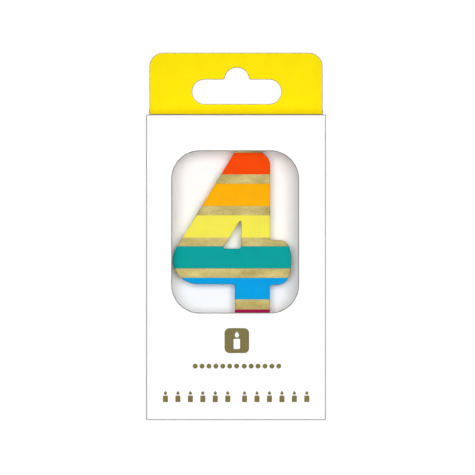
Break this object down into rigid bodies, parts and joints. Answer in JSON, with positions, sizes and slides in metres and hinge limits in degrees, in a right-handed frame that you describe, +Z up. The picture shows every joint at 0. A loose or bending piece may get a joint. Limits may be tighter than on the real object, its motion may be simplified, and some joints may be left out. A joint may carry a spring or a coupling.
{
  "type": "number birthday candle",
  "caption": "Striped wax numeral candle with wick and cake pick, in a windowed hanging carton with hinged tuck flaps and a slide-out card that holds the candle.",
  "frame": {"origin": "middle of the carton's foot, on the outer face of the bottom flap", "axes": "+Z up towards the hang slot, the window faces -Y, +X to the right as seen through the window"},
  "size_m": [0.0644, 0.02, 0.1316],
  "materials": {
    "white_board": "satin coated white folding carton board",
    "yellow_board": "satin coated folding carton board, printed bright yellow",
    "striped_wax": "smooth candle wax painted in bright horizontal bands between matte gold bands; the colour given is one of the bands",
    "wick_cotton": "braided, waxed cotton",
    "white_plastic": "moulded white plastic, low gloss"
  },
  "bodies": {
    "carton": {"front_panel": "white_board", "back_panel": "white_board", "left_side_panel": "white_board", "right_side_panel": "white_board", "glue_flap": "white_board"},
    "bottom_flap": {"bottom_flap": "white_board"},
    "bottom_lip": {"bottom_tuck_lip": "white_board"},
    "left_dust_flap": {"left_dust_flap": "white_board"},
    "right_dust_flap": {"right_dust_flap": "white_board"},
    "insert": {"hang_card": "yellow_board", "header_front_layer": "yellow_board", "candle_cradle": "white_board", "candle_numeral": "striped_wax", "wick": "wick_cotton", "cake_pick": "white_plastic"},
    "top_flap": {"top_flap": "yellow_board"},
    "top_lip": {"top_tuck_lip": "yellow_board"}
  },
  "joints": [
    {"name": "bottom_flap_hinge", "type": "hinge", "parent": "carton", "child": "bottom_flap", "pos_m": [0, 0.01, 0], "axis": [1, 0, 0], "range_deg": [0, 150]},
    {"name": "bottom_lip_fold", "type": "hinge", "parent": "bottom_flap", "child": "bottom_lip", "pos_m": [0, -0.00875, 0.0003], "axis": [-1, 0, 0], "range_deg": [-12, 25]},
    {"name": "left_dust_flap_hinge", "type": "hinge", "parent": "carton", "child": "left_dust_flap", "pos_m": [-0.03215, 0, 0.00045], "axis": [0, 1, 0], "range_deg": [0, 90]},
    {"name": "right_dust_flap_hinge", "type": "hinge", "parent": "carton", "child": "right_dust_flap", "pos_m": [0.03215, 0, 0.00045], "axis": [0, -1, 0], "range_deg": [0, 90]},
    {"name": "insert_slide", "type": "slide", "parent": "carton", "child": "insert", "axis": [0, 0, 1], "range_m": [0, 0.112]},
    {"name": "top_flap_hinge", "type": "hinge", "parent": "insert", "child": "top_flap", "pos_m": [0, 0.0073, 0.1091], "axis": [-1, 0, 0], "range_deg": [0, 80]},
    {"name": "top_lip_fold", "type": "hinge", "parent": "top_flap", "child": "top_lip", "pos_m": [0, -0.00875, 0.1088], "axis": [1, 0, 0], "range_deg": [-12, 25]}
  ],
  "couplings": [
    {"joint": "left_dust_flap_hinge", "follows": "bottom_flap_hinge", "ratio": 0.6},
    {"joint": "right_dust_flap_hinge", "follows": "bottom_flap_hinge", "ratio": 0.6}
  ]
}
